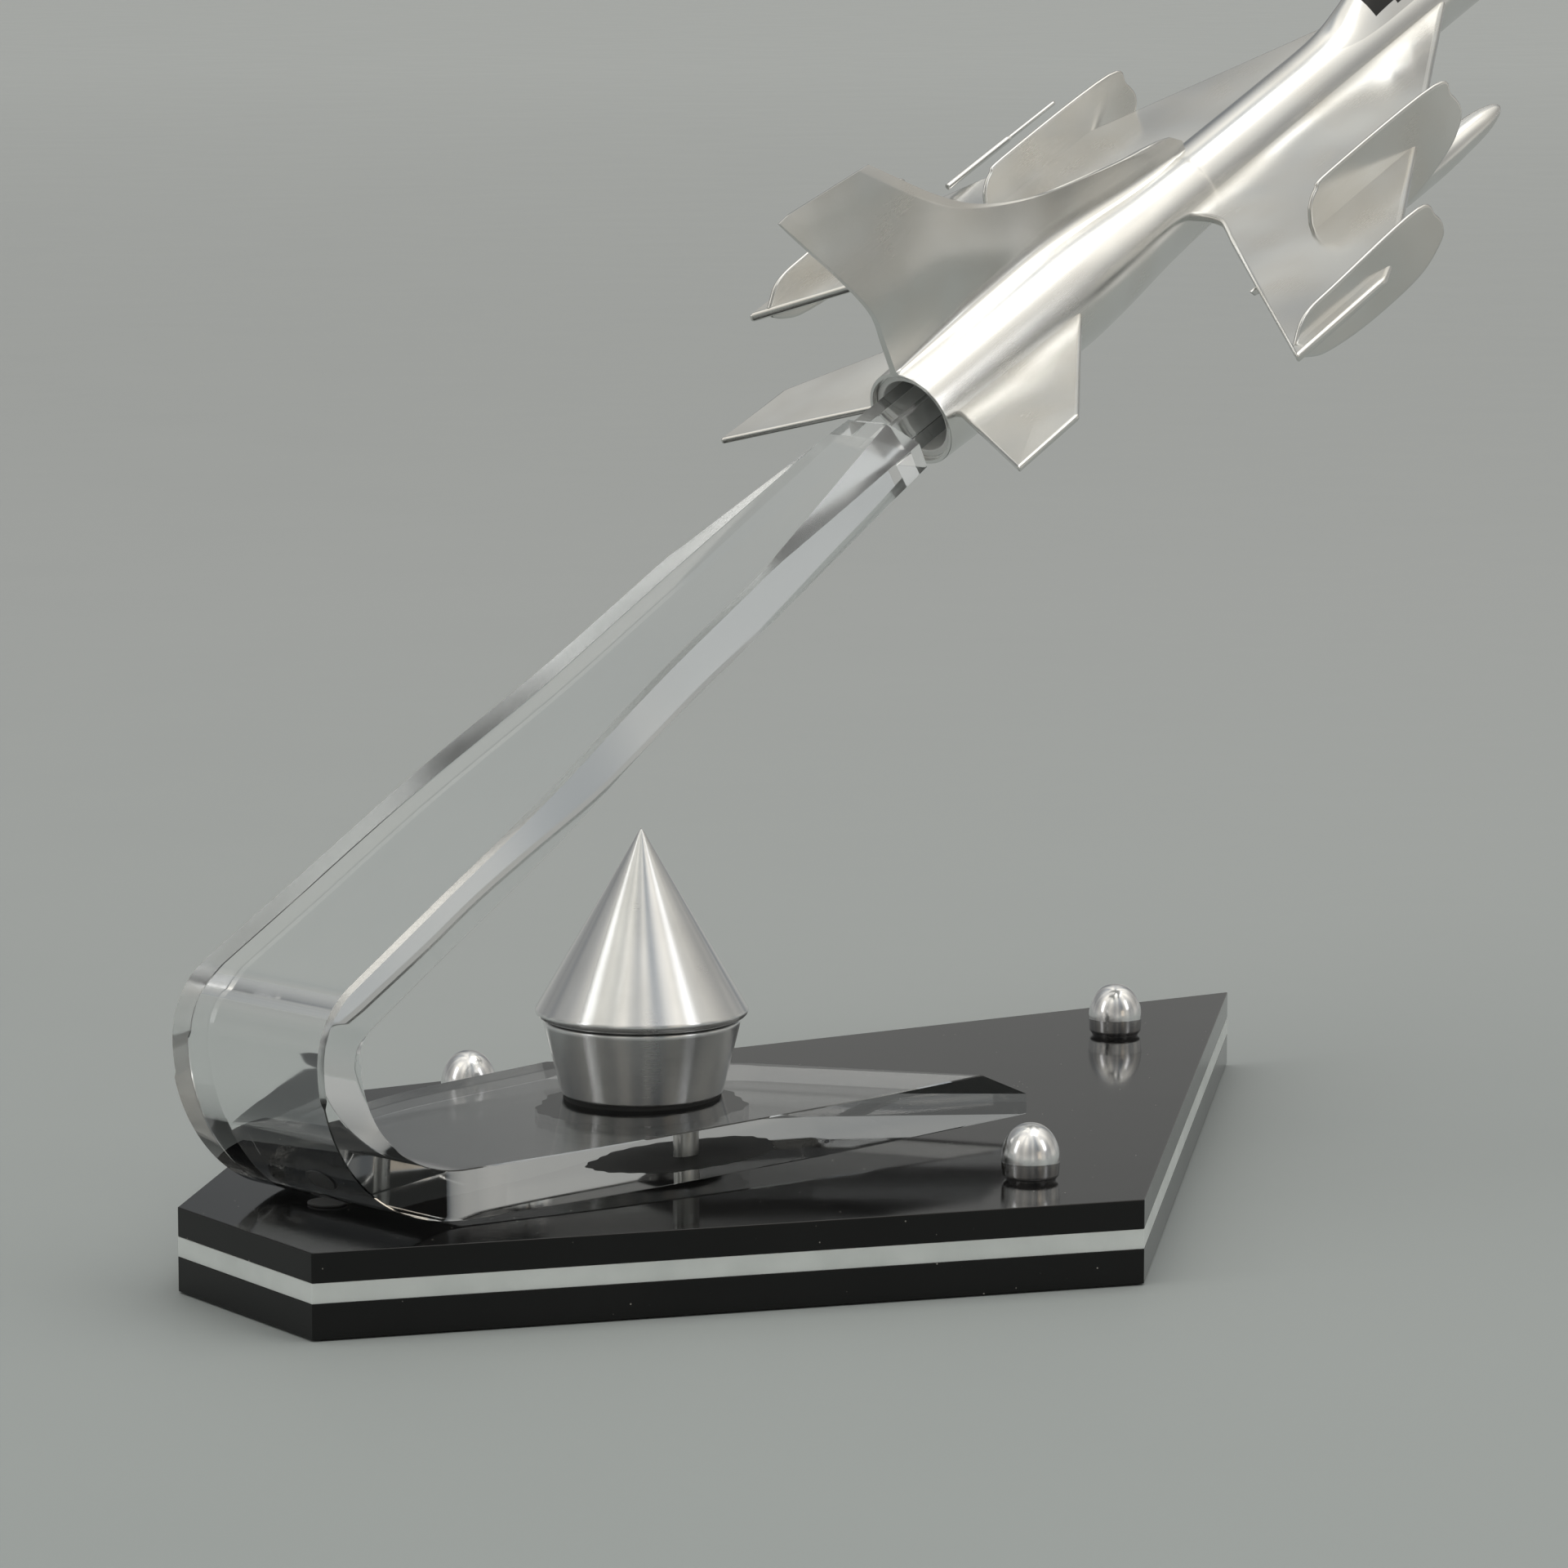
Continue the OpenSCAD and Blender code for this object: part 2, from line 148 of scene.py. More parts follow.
turned = Shader("turned_metal", Metallic=1.0, Anisotropic=0.95, Anisotropic_Rotation=0.25)
rings = turned.noise(0.3, 2.0, (0.02, 0.02, 1.0))
smears = turned.noise(9.0, 4.0, (1.0, 1.0, 0.25))
turned.set("Base Color", turned.blend(turned.span(smears, 0.0, 1.0),
                                      (0.82, 0.825, 0.83), (0.74, 0.74, 0.74)))
turned.set("Roughness", turned.math("ADD", turned.span(smears, 0.20, 0.27),
                                    turned.span(rings, -0.01, 0.01)))
turned.set("Tangent", turned.add("ShaderNodeTangent", direction_type="RADIAL", axis="Z").outputs[0])
turned.bump(rings, 0.0008)

polished = Shader("polished_nut", Metallic=1.0)
wear = polished.noise(2.0, 4.0)
polished.set("Base Color", polished.blend(polished.span(wear, 0.0, 1.0),
                                          (0.83, 0.83, 0.83), (0.74, 0.74, 0.75)))
polished.set("Roughness", polished.span(wear, 0.14, 0.24))
polished.bump(polished.noise(0.5, 2.0), 0.002)


def gloss_black(name, level, rough, dust):
    """Black plastic with dust specks and faint wiping smears."""
    m = Shader(name, IOR=1.49, Specular_IOR_Level=0.32)
    speck = m.add("ShaderNodeTexVoronoi", {"Vector": m.coords, "Scale": 420.0}).outputs["Distance"]
    pick = m.noise(3.0, 1.0)
    dots = m.math("MULTIPLY", m.span(speck, 1.0, 0.0, 0.03, 0.09),
                  m.span(pick, 0.0, 1.0, 0.56, 0.62))
    film = m.noise(30.0, 5.0, (1.0, 0.4, 1.0))
    plain = m.blend(m.span(film, 0.0, 1.0), (level,) * 3, (level * 1.8,) * 3)
    m.set("Base Color", m.blend(m.math("MULTIPLY", dots, dust), plain, (0.5, 0.48, 0.44)))
    m.set("Roughness", m.math("ADD", m.span(film, rough[0], rough[1]),
                              m.math("MULTIPLY", dots, 0.4)))
    m.bump(m.noise(25.0, 1.0), 0.02)
    return m


black = gloss_black("black_acrylic", 0.003, (0.05, 0.12), 0.7)
cap_black = gloss_black("black_cap", 0.02, (0.3, 0.45), 0.2)
pad_black = gloss_black("black_pad", 0.012, (0.5, 0.7), 0.0)
glazing = gloss_black("dark_glazing", 0.02, (0.08, 0.14), 0.0)

pale = Shader("frosted_acrylic", IOR=1.49, Subsurface_Weight=0.25, Subsurface_Scale=0.004)
pale.bsdf.inputs["Subsurface Radius"].default_value = (1.0, 1.0, 1.0)
saw = pale.noise(0.5, 2.0, (1.0, 1.0, 0.05))
mottle = pale.noise(14.0, 4.0)
pale.set("Base Color", pale.blend(pale.span(mottle, 0.0, 1.0),
                                  (0.74, 0.78, 0.77), (0.62, 0.66, 0.65)))
pale.set("Roughness", pale.span(saw, 0.28, 0.45))
pale.bump(saw, 0.02)

# A softer finish for the upper leg's chamfers and far side. It is a guess, made because clear
# faces there showed dark reflections that aren't in the picture.
clear_edge = Shader("clear_soft_edge", Transmission_Weight=1.0, IOR=1.49)
softness = clear_edge.noise(24.0, 1.0)
clear_edge.set("Base Color", clear_edge.blend(clear_edge.span(softness, 0.0, 1.0),
                                              (0.97, 0.98, 0.98), (0.93, 0.95, 0.95)))
clear_edge.set("Roughness", clear_edge.span(softness, 0.16, 0.22))

clear = Shader("clear_acrylic", Transmission_Weight=1.0, IOR=1.49)
haze = clear.noise(22.0, 5.0)
clear.set("Base Color", clear.blend(clear.span(haze, 0.0, 1.0),
                                    (0.965, 0.975, 0.972), (0.94, 0.955, 0.95)))
clear.set("Roughness", clear.span(haze, 0.015, 0.05, 0.4, 0.75))
clear.bump(clear.noise(38.0, 0.0), 0.05)


# ---------- Mesh helpers ----------

def curve_through(points, steps=6, closed=False, corners=()):
    """Smooth line through the points, with a corner kept at each listed index."""
    pts = [Vector(p) for p in points]
    n = len(pts)
    line = []
    for i in range(n if closed else n - 1):
        j = (i + 1) % n
        p1, p2 = pts[i], pts[j]
        before = pts[i - 1] if (closed or i > 0) and i not in corners else p1 * 2 - p2
        after = pts[(i + 2) % n] if (closed or i + 2 < n) and j not in corners else p2 * 2 - p1
        for k in range(steps):
            t = k / steps
            line.append(0.5 * (2 * p1 + (p2 - before) * t
                               + (2 * before - 5 * p1 + 4 * p2 - after) * t * t
                               + (3 * p1 - before - 3 * p2 + after) * t ** 3))
    if not closed:
        line.append(pts[-1])
    return line


def soften(points, reach, steps=4):
    """Rounds each corner of a line; reach is how far from the corner the round starts."""
    pts = [Vector(p) for p in points]
    n = len(pts)
    line = []
    for i, p in enumerate(pts):
        if i in (0, n - 1):
            line.append(p)
            continue
        a, b = pts[i - 1] - p, pts[i + 1] - p
        start = p + a.normalized() * min(reach, a.length * 0.45)
        end = p + b.normalized() * min(reach, b.length * 0.45)
        for k in range(steps + 1):
            t = k / steps
            line.append(start * (1 - t) ** 2 + p * 2 * t * (1 - t) + end * t * t)
    return line


def value_at(table, x):
    """Straight-line look-up in a table of (x, y) with x rising."""
    if x <= table[0][0]:
        return table[0][1]
    for (x0, y0), (x1, y1) in zip(table, table[1:]):
        if x <= x1:
            return y0 + (y1 - y0) * (x - x0) / max(x1 - x0, 1e-9)
    return table[-1][1]


def finish_piece(name, bm, place, body, shader, stands_for=(), smooth=32.0, flats=False):
    """Turns a bmesh in millimetres into a piece that rides on a body."""
    bmesh.ops.remove_doubles(bm, verts=bm.verts, dist=1e-4)
    bmesh.ops.recalc_face_normals(bm, faces=bm.faces)
    bmesh.ops.scale(bm, vec=(MM, MM, MM), verts=bm.verts)
    mesh = bpy.data.meshes.new(name)
    bm.to_mesh(mesh)
    bm.free()
    mesh.shade_smooth()
    mesh.set_sharp_from_angle(angle=math.radians(smooth))
    for s in (shader if isinstance(shader, (list, tuple)) else [shader]):
        mesh.materials.append(s.mat)
    obj = bpy.data.objects.new(name, mesh)
    scene.collection.objects.link(obj)
    obj.matrix_world = place
    if flats:
        mod = obj.modifiers.new("flats", "WEIGHTED_NORMAL")
        mod.keep_sharp = True
    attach(obj, body)
    if stands_for:
        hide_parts(*stands_for)
    return obj


def build(verts, faces):
    bm = bmesh.new()
    made = [bm.verts.new(v) for v in verts]
    for f in faces:
        bm.faces.new([made[i] for i in f])
    return bm


def rings_to_faces(rings, wrap, closed=False):
    """Quads between rings of vertex numbers; a ring of one is a tip."""
    faces = []
    pairs = list(zip(rings, rings[1:])) + ([(rings[-1], rings[0])] if closed else [])
    for a, b in pairs:
        n = max(len(a), len(b))
        if n == 1:
            continue
        for k in range(n if wrap else n - 1):
            j = (k + 1) % n
            if len(a) == 1:
                faces.append((a[0], b[k], b[j]))
            elif len(b) == 1:
                faces.append((a[k], b[0], a[j]))
            else:
                faces.append((a[k], b[k], b[j], a[j]))
    return faces


def lathe(profile, axis="X", centre=(0.0, 0.0, 0.0), segments=128, closed=False):
    """Turned solid from (along, radius) points in millimetres."""
    verts, rings = [], []
    c = Vector(centre)
    for along, radius in profile:
        ring = []
        for k in range(1 if radius < 1e-5 else segments):
            a = 2 * math.pi * k / segments
            u, v = radius * math.cos(a), radius * math.sin(a)
            ring.append(len(verts))
            verts.append(c + Vector((along, u, v) if axis == "X" else (u, v, along)))
        rings.append(ring)
    return build(verts, rings_to_faces(rings, True, closed))


def offset_loop(loop, distance):
    """Loop moved inwards by a distance, with mitred corners; the loop runs anticlockwise.

    Edges that come out reversed, at sharp tips, are drawn together to a point.
    """
    n = len(loop)
    moved = []
    for i in range(n):
        a = (loop[i] - loop[i - 1]).normalized()
        b = (loop[(i + 1) % n] - loop[i]).normalized()
        na, nb = Vector((-a.y, a.x)), Vector((-b.y, b.x))
        moved.append(loop[i] + (na + nb) * (distance / max(1 + na.dot(nb), 0.35)))
    for _ in range(n):
        turned_back = [i for i in range(n)
                       if (moved[(i + 1) % n] - moved[i]).dot(loop[(i + 1) % n] - loop[i]) < -1e-9]
        for i in turned_back:
            moved[i] = moved[(i + 1) % n] = (moved[i] + moved[(i + 1) % n]) / 2
        if not turned_back:
            break
    return moved


def anticlockwise(loop):
    area = sum(a.x * b.y - b.x * a.y for a, b in zip(loop, loop[1:] + loop[:1]))
    return loop if area > 0 else loop[::-1]


def slab(outline, levels, lay):
    """Plate with a shaped rim: levels are (inset, half thickness); lay(a, b, off) places it."""
    loop = anticlockwise([Vector(p) for p in outline])
    verts, rings = [], []
    order = [(inset, half) for inset, half in reversed(levels)]
    for sign in (1, -1):
        for inset, half in (order if sign == 1 else levels):
            rings.append(list(range(len(verts), len(verts) + len(loop))))
            verts += [lay(p.x, p.y, sign * half) for p in offset_loop(loop, inset)]
    faces = rings_to_faces(rings, True)
    faces += [tuple(rings[0]), tuple(reversed(rings[-1]))]
    return build(verts, faces)


def dress(node, shader, edge_mm=0.0):
    """Gives a kept CAD node its finish, and small rounds along its edges."""
    obj = nodes[node]
    obj.data.materials.clear()
    obj.data.materials.append(shader.mat)
    if edge_mm:
        weld = obj.modifiers.new("weld", "WELD")
        weld.merge_threshold = 1e-6
        flat = obj.modifiers.new("flat", "DECIMATE")
        flat.decimate_type = "DISSOLVE"
        flat.angle_limit = math.radians(0.5)
        edge = obj.modifiers.new("edge", "BEVEL")
        edge.width = edge_mm * MM
        edge.segments = 3
        edge.limit_method = "ANGLE"
        edge.angle_limit = math.radians(40)
        obj.modifiers.new("flats", "WEIGHTED_NORMAL")


# ---------- Base ----------

BASE_H = 17.0
PLATE_EDGE = 0.25
for plate, shader in (("base_plate_bottom", black), ("base_plate_middle", pale),
                      ("base_plate_top", black)):
    dress(plate, shader, PLATE_EDGE)
for screw in ("base_screw_left", "base_screw_right", "base_screw_front", "base_screw_rear"):
    dress(screw, steel)
dress("main_stud", steel)
dress("cone_pad", pad_black)

HOLES = {"left": (9.0, 63.5), "right": (38.0, -73.5), "front": (166.0, 20.5), "rear": (-78.0, 7.7)}


NUT_H, NUT_R, NUT_BARREL_H, NUT_BORE = 11.5, 6.0, 3.9, 2.7


def nut_profile():
    """Cap nut: seat, short upright barrel, groove line, tall dome; blind bore from below."""
    dome = [(NUT_H * math.sin(t) * 0.66 + NUT_BARREL_H, NUT_R * math.cos(t) ** 0.92)
            for t in [math.pi / 2 * k / 20 for k in range(20)]]
    outer = soften([(0.0, 5.1), (0.5, 5.35), (1.0, 5.8), (3.75, 5.94)], 0.3)
    return ([(0.0, NUT_BORE), (0.0, 5.1)] + [tuple(p) for p in outer][1:] + [(3.83, 5.86)] + dome
            + [(NUT_H, 0.0)], [(0.0, NUT_BORE), (6.4, NUT_BORE), (7.6, 0.0)])


for side in ("left", "right", "front"):
    x, y = HOLES[side]
    outer, bore = nut_profile()
    profile = list(reversed(bore)) + outer[1:]
    bm = lathe([(BASE_H + a, r) for a, r in profile], "Z", (x, y, 0.0), 96)
    finish_piece("cap_nut_" + side, bm, UPRIGHT, "nut_" + side, polished,
                 ("dome_nut_" + side,), 25)

x, y = HOLES["rear"]
disc = soften([(0.0, 0.0), (0.0, 4.0), (0.5, 4.0), (0.5, 3.3), (0.38, 3.1), (0.38, 0.0)], 0.15)
bm = lathe([(BASE_H + p.x, p.y) for p in disc], "Z", (x, y, 0.0), 72)
finish_piece("rear_cap_disc", bm, UPRIGHT, "stand", cap_black, ("rear_cap",), 30)


# ---------- Bent strip ----------

STRIP_T = 10.2
RISE = math.radians(1.16)
LEG = math.radians(30.8)
BEND_X, LOW_R, TOP_R = -70.7, 34.5, 17.0
BEND_Z = BASE_H + LOW_R + 0.5
TOP_X = BEND_X - LOW_R + TOP_R
LOW_LEN = 172.0
LEG_END = -11.3
LEG_TOP_Z = BEND_Z - (LOW_R - STRIP_T) / math.cos(RISE) - BEND_X * math.tan(RISE)
CHAMFER = 0.22
TOP_ROUND = 0.9  # wider, along the outer edges above the bend
SOFT_ABOVE = 45.0
PORT_LOW = [(-106, 22.7), (-88, 22.7), (-70.7, 27), (-50, 35), (-38, 39.5), (90, 39.5)]
STAR_LOW = [(-106, 22.7), (-88, 22.7), (-70.7, 24.5), (-39, 30.5), (-23, 32.2), (6, 35), (23, 37),
            (55, 38.5), (90, 40.3)]
BOTH_TOP = [(-106, 22.7), (-92, 22.7), (-79, 21.4), (-49, 21.1), (-32, 19.5), (-14, 16.5),
            (12, 15.9),
            (35, 14.9), (48, 14.1), (58, 13.6), (67, 12.8), (110, 12)]


def eased(table, reach=15.0, step=1.5):
    """The same look-up table with its corners averaged away."""
    low, high = table[0][0], table[-1][0]
    stops = [low + step * k for k in range(int((high - low) / step) + 1)]
    spread = [reach * (k / 6 - 1) for k in range(13)]
    return [(x, sum(value_at(table, x + d) for d in spread) / len(spread)) for x in stops]


PORT_LOW, STAR_LOW, BOTH_TOP = (eased(t) for t in (PORT_LOW, STAR_LOW, BOTH_TOP))

# Facet along each upper edge of the upper leg, in the leg's own frame
FACET_AT = Vector((130.0, 15.6, 0.0))
FACET_TURN = (Matrix.Rotation(math.radians(-9.5), 3, "Z")
              @ Matrix.Rotation(math.radians(-31), 3, "X"))
FACET_NORMAL = FACET_TURN @ Vector((0.0, 0.0, 1.0))


def on_arc(cx, r, angle):
    return Vector((cx + r * math.cos(angle), 0.0, BEND_Z + r * math.sin(angle)))


def strip_stations():
    """(outer point, inner point, side tables, distance along the upper leg or None)."""
    under, over = math.radians(270) + RISE, math.radians(90) + LEG
    low_dir = Vector((math.cos(RISE), 0.0, math.sin(RISE)))
    top_dir = Vector((math.cos(LEG), 0.0, math.sin(LEG)))
    low, top = (PORT_LOW, STAR_LOW), (BOTH_TOP, BOTH_TOP)
    rows = []
    for k in range(24):
        d = LOW_LEN * (1 - k / 24)
        rows.append((on_arc(BEND_X, LOW_R, under) + low_dir * d,
                     on_arc(BEND_X, LOW_R - STRIP_T, under) + low_dir * d, low, None))
    for k in range(40):
        a = under + (math.pi - under) * k / 40
        rows.append((on_arc(BEND_X, LOW_R, a), on_arc(BEND_X, LOW_R - STRIP_T, a), low, None))
    for k in range(24):
        a = math.pi + (over - math.pi) * k / 24
        rows.append((on_arc(TOP_X, TOP_R, a), on_arc(TOP_X, TOP_R - STRIP_T, a), top, None))
    outer, inner = on_arc(TOP_X, TOP_R, over), on_arc(TOP_X, TOP_R - STRIP_T, over)
    inverse = AIRCRAFT.inverted()

    def to_end(p):
        a, b = inverse @ (p * MM), inverse @ ((p + top_dir) * MM)
        return (LEG_END * MM - a.x) / (b.x - a.x)

    reach_out, reach_in = to_end(outer), to_end(inner)
    steps = 48
    for k in range(steps + 1):
        d_out, d_in = reach_out * k / steps, reach_in * k / steps
        rows.append((outer + top_dir * d_out, inner + top_dir * d_in, top, (d_out, d_in)))
    return rows


def strip_ring(outer, inner, tables, along):
    """Eight corners of one cross-section, port side first, top to bottom."""
    ring = []
    for side, table in ((1, tables[0]), (-1, tables[1])):
        wide_out, wide_in = value_at(table, outer.x), value_at(table, inner.x)
        edge = TOP_ROUND if outer.z > SOFT_ABOVE else CHAMFER
        flat_y, drop = wide_out - edge, edge
        if along is not None:
            n, q = FACET_NORMAL, along[0] - FACET_AT.x
            edge_y = FACET_AT.y - n.x * q / n.y
            depth = (n.x * q + n.y * (wide_out - FACET_AT.y)) / n.z
            if depth > edge:
                flat_y, drop = max(edge_y, 1.0), depth
        across = inner - outer
        points = [(flat_y, 0.0), (wide_out, drop), (wide_in, STRIP_T - CHAMFER),
                  (wide_in - CHAMFER, STRIP_T)]
        corners = [outer + across * (d / STRIP_T) + Vector((0.0, side * y, 0.0)) for y, d in points]
        ring += corners if side == 1 else corners[::-1]
    return ring


def cut(bm, place, normal):
    """Cuts the lower leg's end off and closes it."""
    near = [v for v in bm.verts if v.co.x > -18.0 and v.co.z < 36.0]
    picked = set(near)
    geom = near + [e for e in bm.edges if set(e.verts) <= picked]
    geom += [f for f in bm.faces if set(f.verts) <= picked]
    made = bmesh.ops.bisect_plane(bm, geom=geom, plane_co=place, plane_no=normal, dist=1e-5,
                                  clear_outer=True)
    edges = [e for e in made["geom_cut"] if isinstance(e, bmesh.types.BMEdge)]
    bmesh.ops.holes_fill(bm, edges=edges, sides=0)


def clear_strip():
    """The bent strip: cross-sections along both legs, the tenon, and the cut lower end."""
    verts, rings = [], []

    def add(points):
        rings.append(list(range(len(verts), len(verts) + len(points))))
        verts.extend(points)

    for row in strip_stations():
        add(strip_ring(*row))
    shift = AIRCRAFT.copy()
    shift.translation = TAIL
    half, low, high, soft = 6.0, -4.0, 5.4, 0.8
    section = [(half - soft, high), (half, high - soft), (half, low + 0.3), (half - 0.3, low)]
    section += [(-y, h) for y, h in reversed(section)]
    for station, trim in ((LEG_END, 0.0), (LEG_END + 0.6, 0.0), (0.0, 0.0), (21.4, 0.0),
                          (22.0, 0.5)):
        add([shift @ Vector((station, y - math.copysign(trim, y), h - math.copysign(trim, h - 0.6)))
             for y, h in section])
    faces = rings_to_faces(rings, True) + [tuple(rings[0]), tuple(reversed(rings[-1]))]
    bm = build(verts, faces)
    bmesh.ops.recalc_face_normals(bm, faces=bm.faces)
    drop = math.atan2(5.6, 11.0)
    for (px, py), heading in (((8.0, 39.5), -49.3), ((34.0, 9.3), -61.5)):
        turn = Matrix.Rotation(math.radians(heading), 3, "Z")
        top = Vector((px, py, LEG_TOP_Z + (px + 25.0) * math.tan(RISE)))
        cut(bm, top + turn @ Vector((0.0, 11.0, 0.0)), turn @ Vector((0.0, 1.0, 0.0)))
        cut(bm, top, turn @ Vector((0.0, math.sin(drop), math.cos(drop))))
    return bm


def bored(bm, radius, low, high):
    """The same mesh with an upright hole through it at the origin."""
    body = bpy.data.meshes.new("strip_blank")
    bm.to_mesh(body)
    bm.free()
    drill = bpy.data.meshes.new("drill")
    tool = lathe([(low, 0.0), (low, radius), (high, radius), (high, 0.0)], "Z", segments=64)
    tool.to_mesh(drill)
    tool.free()
    blank, cutter = (bpy.data.objects.new(m.name, m) for m in (body, drill))
    for o in (blank, cutter):
        scene.collection.objects.link(o)
    mod = blank.modifiers.new("hole", "BOOLEAN")
    mod.object, mod.operation, mod.solver = cutter, "DIFFERENCE", "EXACT"
    bpy.context.view_layer.update()
    made = bmesh.new()
    made.from_object(blank, bpy.context.evaluated_depsgraph_get())
    for o in (blank, cutter):
        bpy.data.objects.remove(o)
    return made


STRIP_BORE, DRILL_FROM, DRILL_TO = 3.3, 10.0, 34.0
bm = bored(clear_strip(), STRIP_BORE, DRILL_FROM, DRILL_TO)
for f in bm.faces:
    high_up = f.calc_center_median().z > SOFT_ABOVE
    soft = high_up and (f.normal.y > 0.3 or -0.97 < f.normal.y < -0.3)
    f.material_index = 1 if soft else 0
finish_piece("clear_strip", bm, UPRIGHT, "stand", [clear, clear_edge],
             ("trail_strip",), 20)


# ---------- Turned cone ----------

FOOT_Z = LEG_TOP_Z + 0.6
FOOT_H, CONE_H, CONE_R = 15.4, 39.0, 21.9
STUD_BORE = 3.15
PAD_R = 21.3
PAD_SPOTS = 240
PAD_WET = 0.06  # how far the pad's top sinks into the strip, so that no air film is left


def pad_mesh():
    """Black pad under the strip, pressed into wet contact with it, with a ragged edge."""
    verts, rings = [], []
    draw = random.Random(7)
    waves = [(draw.choice((3, 5, 9, 14, 23, 37, 61)), draw.random() * 6.28, draw.uniform(0.1, 0.35))
             for _ in range(12)]
    for outer, lifted in ((False, True), (True, True), (True, False), (False, False)):
        ring = []
        for k in range(PAD_SPOTS):
            a = 2 * math.pi * k / PAD_SPOTS
            edge = PAD_R + sum(size * math.sin(n * a + shift) for n, shift, size in waves)
            r = edge if outer else STUD_BORE
            x, y = r * math.cos(a), r * math.sin(a)
            under = LEG_TOP_Z - STRIP_T / math.cos(RISE) + x * math.tan(RISE)
            ring.append(len(verts))
            verts.append((x, y, under + PAD_WET if lifted else BASE_H + 0.02))
        rings.append(ring)
    return build(verts, rings_to_faces(rings, True, True))


finish_piece("bedding_pad", pad_mesh(), UPRIGHT, "stand", pad_black, ("strip_pad",),
             30)

foot = soften([(0.0, STUD_BORE), (0.0, 16.2), (0.35, 16.65), (FOOT_H - 0.9, 20.2),
               (FOOT_H - 0.25, 20.25), (FOOT_H, 19.9), (FOOT_H, STUD_BORE)], 0.25)
bm = lathe([(FOOT_Z + p.x, p.y) for p in foot], "Z", segments=160, closed=True)
finish_piece("turned_foot", bm, UPRIGHT, "stand", turned, ("cone_foot",), 30)

seat = FOOT_Z + FOOT_H + 0.3
tip = soften([(15.0, 0.0), (14.4, 3.08), (0.0, 3.08), (0.0, 20.3), (0.45, 21.2),
              (1.0, CONE_R - 0.15),
              (1.75, CONE_R), (2.5, CONE_R - 0.45), (CONE_H - 0.8, 0.62), (CONE_H, 0.0)], 0.35)
bm = lathe([(seat + p.x, p.y) for p in tip], "Z", segments=160)
finish_piece("turned_cone", bm, UPRIGHT, "cone_cap", turned, ("cone_top",), 30)


# ---------- Aircraft ----------

BODY_R = [(0, 11), (16, 11.5), (36, 12), (52, 12), (65, 11.2), (80, 9.8), (95, 9), (110, 8.7),
          (205, 8.7)]
BODY_R = [tuple(p) for p in curve_through(BODY_R, 8)]
JOINT_S, LENGTH = 205.0, 282.0


def aircraft_piece(name, bm, shader, *stands_for, smooth=32.0, flats=False):
    return finish_piece(name, bm, AIRCRAFT, "aircraft", shader, stands_for,
                        smooth, flats)


lip = soften([(1.2, 9.82), (1.2, 10.1), (0.0, 10.15), (0.0, 10.95), (0.5, 11.0)], 0.12)
skin = [(30.0, 9.82)] + [tuple(p) for p in lip] + BODY_R[3:] + [(JOINT_S, 3.1), (30.0, 3.1)]
aircraft_piece("fuselage_skin", lathe(skin, segments=192, closed=True), air_metal, "fuselage")

bush = soften([(1.3, 9.8), (1.3, 8.55), (1.5, 8.4), (22.2, 8.4), (22.2, 0.0)], 0.12)
bush = [(28.6, 0.0), (28.6, 9.8)] + [tuple(p) for p in bush]
aircraft_piece("tail_bush", lathe(bush, segments=128), sleeve_metal, "tail_sleeve")

nose = [tuple(p) for p in curve_through([(JOINT_S + 0.04, 8.7), (JOINT_S + 20, 8.4),
                                         (JOINT_S + 45, 7.3),
                                         (LENGTH - 18, 6.1), (LENGTH - 10.5, 5.45)], 8)]
lip = [tuple(p) for p in soften([(LENGTH - 10.5, 5.45), (LENGTH - 9.2, 5.1), (LENGTH - 9.0, 4.75),
                                 (LENGTH - 9.6, 4.4), (LENGTH - 16, 4.15), (LENGTH - 16.5, 3.9),
                                 (LENGTH - 10, 2.6), (LENGTH - 4, 1.25), (LENGTH, 0.0)], 0.5)]
spigot = [(JOINT_S - 11, 0.0), (JOINT_S - 11, 3.0), (JOINT_S + 0.04, 3.0)]
aircraft_piece("nose_section", lathe(spigot + nose + lip[1:], segments=128), air_metal, "nose")


# Fin: a curved sheet between four boundary lines, thicker at the root, with a fillet
FIN_TE = curve_through([(0.0, 12.0), (0.1, 18.5), (0.0, 25.5), (-4.4, 35.7), (-9.6, 45.3),
                        (-15.2, 55.7)], 8)
FIN_TOP = curve_through([(-15.2, 55.7), (-12.0, 56.0), (13.3, 53.7)], 8, corners=(1,))
FIN_LE = curve_through([(100.6, 10.9), (96, 14), (80, 17), (59, 21.6), (40.2, 29.2), (28, 38.3),
                        (13.3, 53.7)], 8)
FILLET = [(0, 0.9), (14, 1.8), (24, 2.4), (61, 2.4), (75, 2.1), (90, 1.6), (100.6, 0.3)]
FIN_ROWS, FIN_COLS, FIN_ARC = 26, 64, 6


def along_line(line, t):
    """Point at a fraction of a line's length."""
    lengths = [0.0]
    for a, b in zip(line, line[1:]):
        lengths.append(lengths[-1] + (b - a).length)
    want = t * lengths[-1]
    for i, (a, b) in enumerate(zip(lengths, lengths[1:])):
        if want <= b:
            return line[i].lerp(line[i + 1], (want - a) / max(b - a, 1e-9))
    return line[-1]


